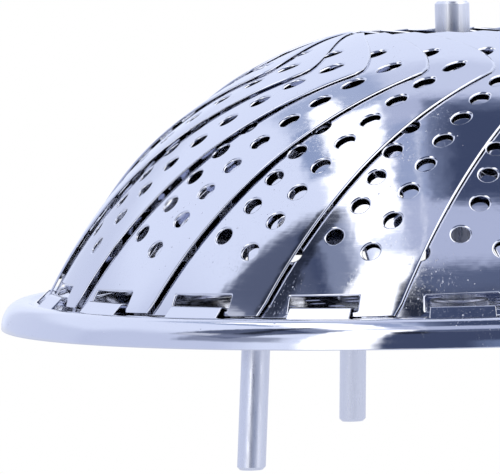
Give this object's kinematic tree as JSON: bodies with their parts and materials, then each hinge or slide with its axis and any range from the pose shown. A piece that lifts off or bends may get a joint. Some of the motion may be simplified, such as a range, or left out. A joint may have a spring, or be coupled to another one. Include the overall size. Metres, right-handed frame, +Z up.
{
  "type": "folding steamer basket",
  "caption": "Folding perforated steel steamer basket: overlapping petals hinged round a legged base plate close into a dome about a centre post.",
  "frame": {"origin": "on the table, under the middle of the centre post", "axes": "+Z up along the post; -Y towards the picture's camera, through the middle of petal_01"},
  "size_m": [0.1396, 0.14, 0.0678],
  "materials": {
    "polished_sheet": "mirror-polished stainless sheet",
    "satin_rod": "satin drawn stainless rod",
    "fasteners": "plain turned stainless steel"
  },
  "bodies": {
    "base": {"base_plate": "polished_sheet", "leg_1": "satin_rod", "leg_2": "satin_rod", "leg_3": "satin_rod", "centre_post": "satin_rod", "post_washer": "fasteners", "post_screw": "fasteners"},
    "petal_01": {"petal_01": "polished_sheet"},
    "petal_02": {"petal_02": "polished_sheet"},
    "petal_03": {"petal_03": "polished_sheet"},
    "petal_04": {"petal_04": "polished_sheet"},
    "petal_05": {"petal_05": "polished_sheet"},
    "petal_06": {"petal_06": "polished_sheet"},
    "petal_07": {"petal_07": "polished_sheet"},
    "petal_08": {"petal_08": "polished_sheet"},
    "petal_09": {"petal_09": "polished_sheet"},
    "petal_10": {"petal_10": "polished_sheet"},
    "petal_11": {"petal_11": "polished_sheet"},
    "petal_12": {"petal_12": "polished_sheet"},
    "petal_13": {"petal_13": "polished_sheet"},
    "petal_14": {"petal_14": "polished_sheet"},
    "petal_15": {"petal_15": "polished_sheet"},
    "petal_16": {"petal_16": "polished_sheet"},
    "petal_17": {"petal_17": "polished_sheet"},
    "petal_18": {"petal_18": "polished_sheet"},
    "petal_19": {"petal_19": "polished_sheet"}
  },
  "joints": [
    {"name": "petal_01_hinge", "type": "hinge", "parent": "base", "child": "petal_01", "pos_m": [0, -0.0626, 0.024], "axis": [1, 0, 0], "range_deg": [0, 102]},
    {"name": "petal_02_hinge", "type": "hinge", "parent": "base", "child": "petal_02", "pos_m": [0.02033, -0.05921, 0.024], "axis": [0.9458, 0.3247, 0], "range_deg": [0, 102]},
    {"name": "petal_03_hinge", "type": "hinge", "parent": "base", "child": "petal_03", "pos_m": [0.03845, -0.0494, 0.024], "axis": [0.7891, 0.6142, 0], "range_deg": [0, 102]},
    {"name": "petal_04_hinge", "type": "hinge", "parent": "base", "child": "petal_04", "pos_m": [0.05241, -0.03424, 0.024], "axis": [0.5469, 0.8372, 0], "range_deg": [0, 102]},
    {"name": "petal_05_hinge", "type": "hinge", "parent": "base", "child": "petal_05", "pos_m": [0.06068, -0.01537, 0.024], "axis": [0.2455, 0.9694, 0], "range_deg": [0, 102]},
    {"name": "petal_06_hinge", "type": "hinge", "parent": "base", "child": "petal_06", "pos_m": [0.06239, 0.00517, 0.024], "axis": [-0.0826, 0.9966, 0], "range_deg": [0, 102]},
    {"name": "petal_07_hinge", "type": "hinge", "parent": "base", "child": "petal_07", "pos_m": [0.05733, 0.02515, 0.024], "axis": [-0.4017, 0.9158, 0], "range_deg": [0, 102]},
    {"name": "petal_08_hinge", "type": "hinge", "parent": "base", "child": "petal_08", "pos_m": [0.04606, 0.0424, 0.024], "axis": [-0.6773, 0.7357, 0], "range_deg": [0, 102]},
    {"name": "petal_09_hinge", "type": "hinge", "parent": "base", "child": "petal_09", "pos_m": [0.02979, 0.05505, 0.024], "axis": [-0.8795, 0.4759, 0], "range_deg": [0, 102]},
    {"name": "petal_10_hinge", "type": "hinge", "parent": "base", "child": "petal_10", "pos_m": [0.0103, 0.06175, 0.024], "axis": [-0.9864, 0.1646, 0], "range_deg": [0, 102]},
    {"name": "petal_11_hinge", "type": "hinge", "parent": "base", "child": "petal_11", "pos_m": [-0.0103, 0.06175, 0.024], "axis": [-0.9864, -0.1646, 0], "range_deg": [0, 102]},
    {"name": "petal_12_hinge", "type": "hinge", "parent": "base", "child": "petal_12", "pos_m": [-0.02979, 0.05505, 0.024], "axis": [-0.8795, -0.4759, 0], "range_deg": [0, 102]},
    {"name": "petal_13_hinge", "type": "hinge", "parent": "base", "child": "petal_13", "pos_m": [-0.04606, 0.0424, 0.024], "axis": [-0.6773, -0.7357, 0], "range_deg": [0, 102]},
    {"name": "petal_14_hinge", "type": "hinge", "parent": "base", "child": "petal_14", "pos_m": [-0.05733, 0.02515, 0.024], "axis": [-0.4017, -0.9158, 0], "range_deg": [0, 102]},
    {"name": "petal_15_hinge", "type": "hinge", "parent": "base", "child": "petal_15", "pos_m": [-0.06239, 0.00517, 0.024], "axis": [-0.0826, -0.9966, 0], "range_deg": [0, 102]},
    {"name": "petal_16_hinge", "type": "hinge", "parent": "base", "child": "petal_16", "pos_m": [-0.06068, -0.01537, 0.024], "axis": [0.2455, -0.9694, 0], "range_deg": [0, 102]},
    {"name": "petal_17_hinge", "type": "hinge", "parent": "base", "child": "petal_17", "pos_m": [-0.05241, -0.03424, 0.024], "axis": [0.5469, -0.8372, 0], "range_deg": [0, 102]},
    {"name": "petal_18_hinge", "type": "hinge", "parent": "base", "child": "petal_18", "pos_m": [-0.03845, -0.0494, 0.024], "axis": [0.7891, -0.6142, 0], "range_deg": [0, 102]},
    {"name": "petal_19_hinge", "type": "hinge", "parent": "base", "child": "petal_19", "pos_m": [-0.02033, -0.05921, 0.024], "axis": [0.9458, -0.3247, 0], "range_deg": [0, 102]}
  ],
  "couplings": [
    {"joint": "petal_02_hinge", "follows": "petal_01_hinge", "ratio": 1},
    {"joint": "petal_03_hinge", "follows": "petal_01_hinge", "ratio": 1},
    {"joint": "petal_04_hinge", "follows": "petal_01_hinge", "ratio": 1},
    {"joint": "petal_05_hinge", "follows": "petal_01_hinge", "ratio": 1},
    {"joint": "petal_06_hinge", "follows": "petal_01_hinge", "ratio": 1},
    {"joint": "petal_07_hinge", "follows": "petal_01_hinge", "ratio": 1},
    {"joint": "petal_08_hinge", "follows": "petal_01_hinge", "ratio": 1},
    {"joint": "petal_09_hinge", "follows": "petal_01_hinge", "ratio": 1},
    {"joint": "petal_10_hinge", "follows": "petal_01_hinge", "ratio": 1},
    {"joint": "petal_11_hinge", "follows": "petal_01_hinge", "ratio": 1},
    {"joint": "petal_12_hinge", "follows": "petal_01_hinge", "ratio": 1},
    {"joint": "petal_13_hinge", "follows": "petal_01_hinge", "ratio": 1},
    {"joint": "petal_14_hinge", "follows": "petal_01_hinge", "ratio": 1},
    {"joint": "petal_15_hinge", "follows": "petal_01_hinge", "ratio": 1},
    {"joint": "petal_16_hinge", "follows": "petal_01_hinge", "ratio": 1},
    {"joint": "petal_17_hinge", "follows": "petal_01_hinge", "ratio": 1},
    {"joint": "petal_18_hinge", "follows": "petal_01_hinge", "ratio": 1},
    {"joint": "petal_19_hinge", "follows": "petal_01_hinge", "ratio": 1}
  ]
}
